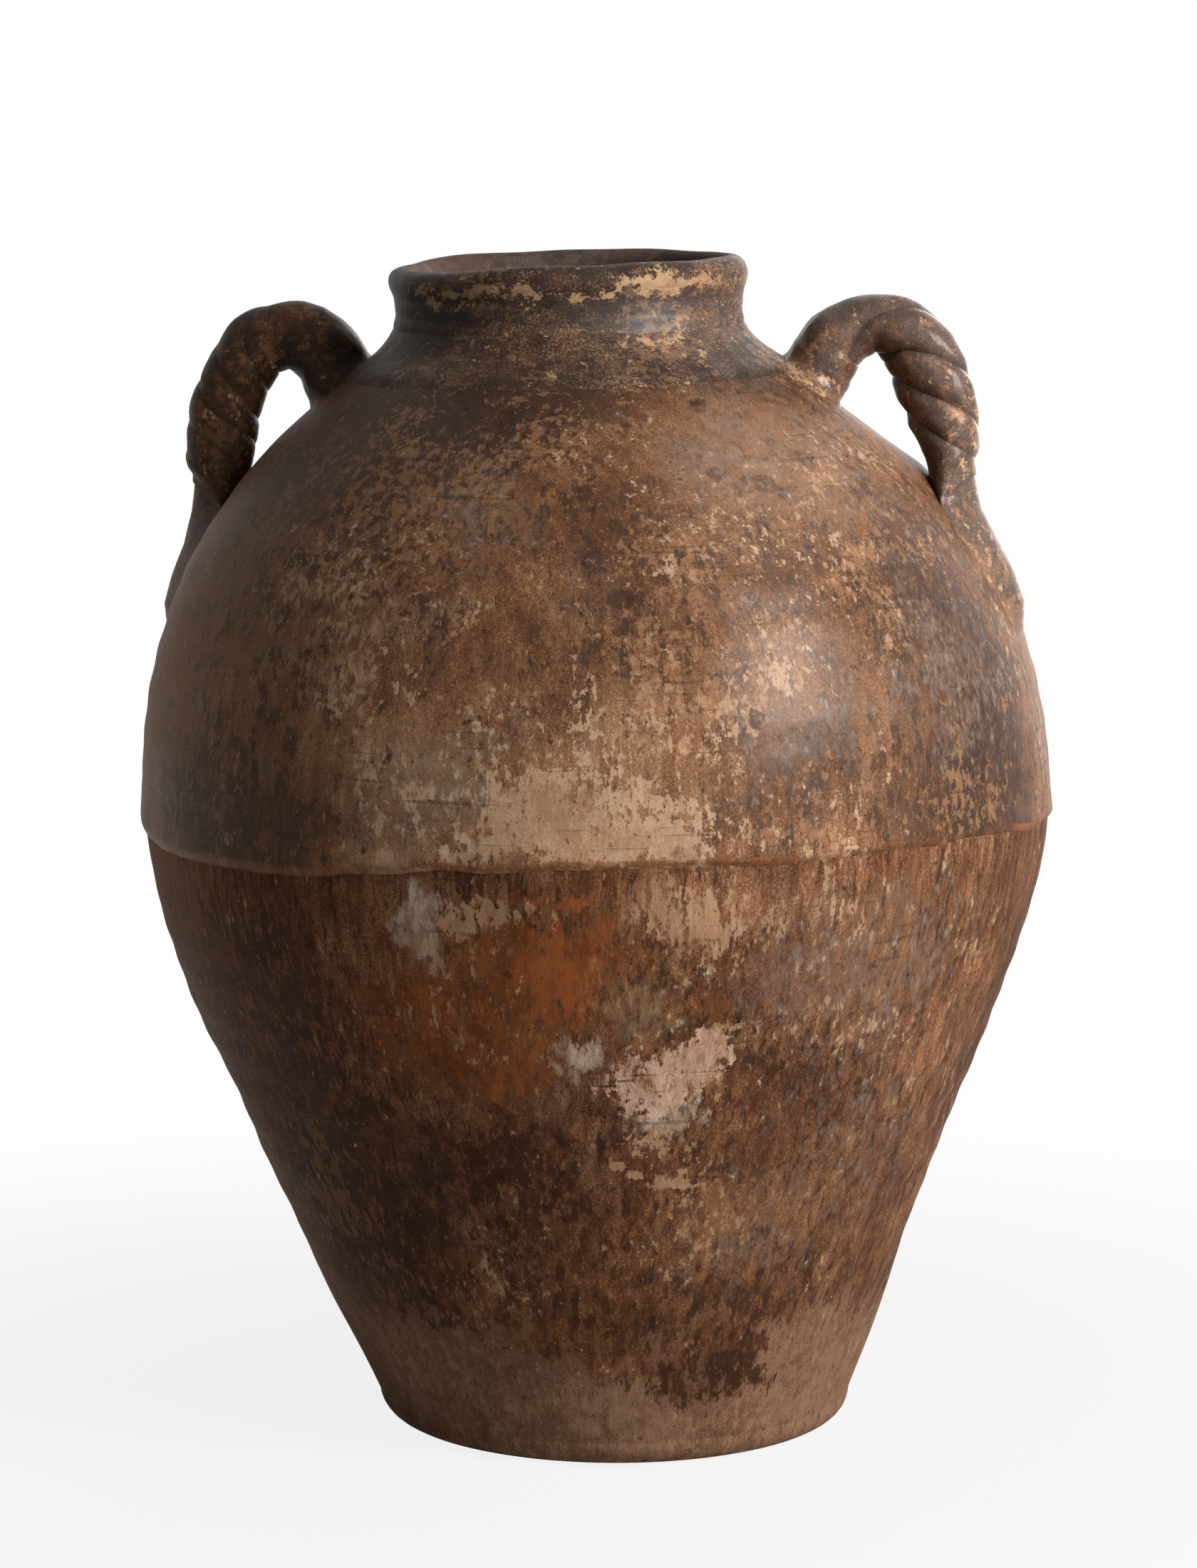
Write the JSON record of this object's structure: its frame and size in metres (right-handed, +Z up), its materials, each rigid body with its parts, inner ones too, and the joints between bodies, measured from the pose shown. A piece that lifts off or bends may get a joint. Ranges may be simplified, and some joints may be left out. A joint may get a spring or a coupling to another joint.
{
  "type": "oil jar",
  "caption": "Large egg-shaped terracotta oil jar, open at a short rolled neck, with rope-twist shoulder handles and a luted belly seam, for storing and pouring oil.",
  "frame": {"origin": "on the ground, below the middle of the belly", "axes": "+Z up, +X through the right handle as seen in the picture, -Y towards the viewer"},
  "size_m": [0.581, 0.581, 0.7427],
  "materials": {
    "stained_wall": "burnished, oil-stained, mottled brown",
    "dusty_foot": "matt and dusty",
    "rust_band": "matt with rust-coloured edges",
    "bare_inside": "matt, unburnished",
    "dark_neck": "dark, half-glossy, with pale drips",
    "worn_handle": "worn half-glossy"
  },
  "bodies": {
    "root": {"floor_disc": "dusty_foot", "foot_section": "dusty_foot", "lower_body": "stained_wall", "upper_body": "stained_wall", "neck_collar": "dark_neck", "rolled_rim": "dark_neck", "belly_band": "rust_band", "neck_band": "dark_neck", "belly_inner_coil": "bare_inside", "floor_inner_coil": "bare_inside", "right_handle_upper_root": "worn_handle", "right_handle_strand_1": "worn_handle", "right_handle_strand_2": "worn_handle", "right_handle_strand_3": "worn_handle", "right_handle_lower_tail": "worn_handle", "left_handle_upper_root": "worn_handle", "left_handle_strand_1": "worn_handle", "left_handle_strand_2": "worn_handle", "left_handle_strand_3": "worn_handle", "left_handle_lower_tail": "worn_handle"}
  },
  "joints": []
}
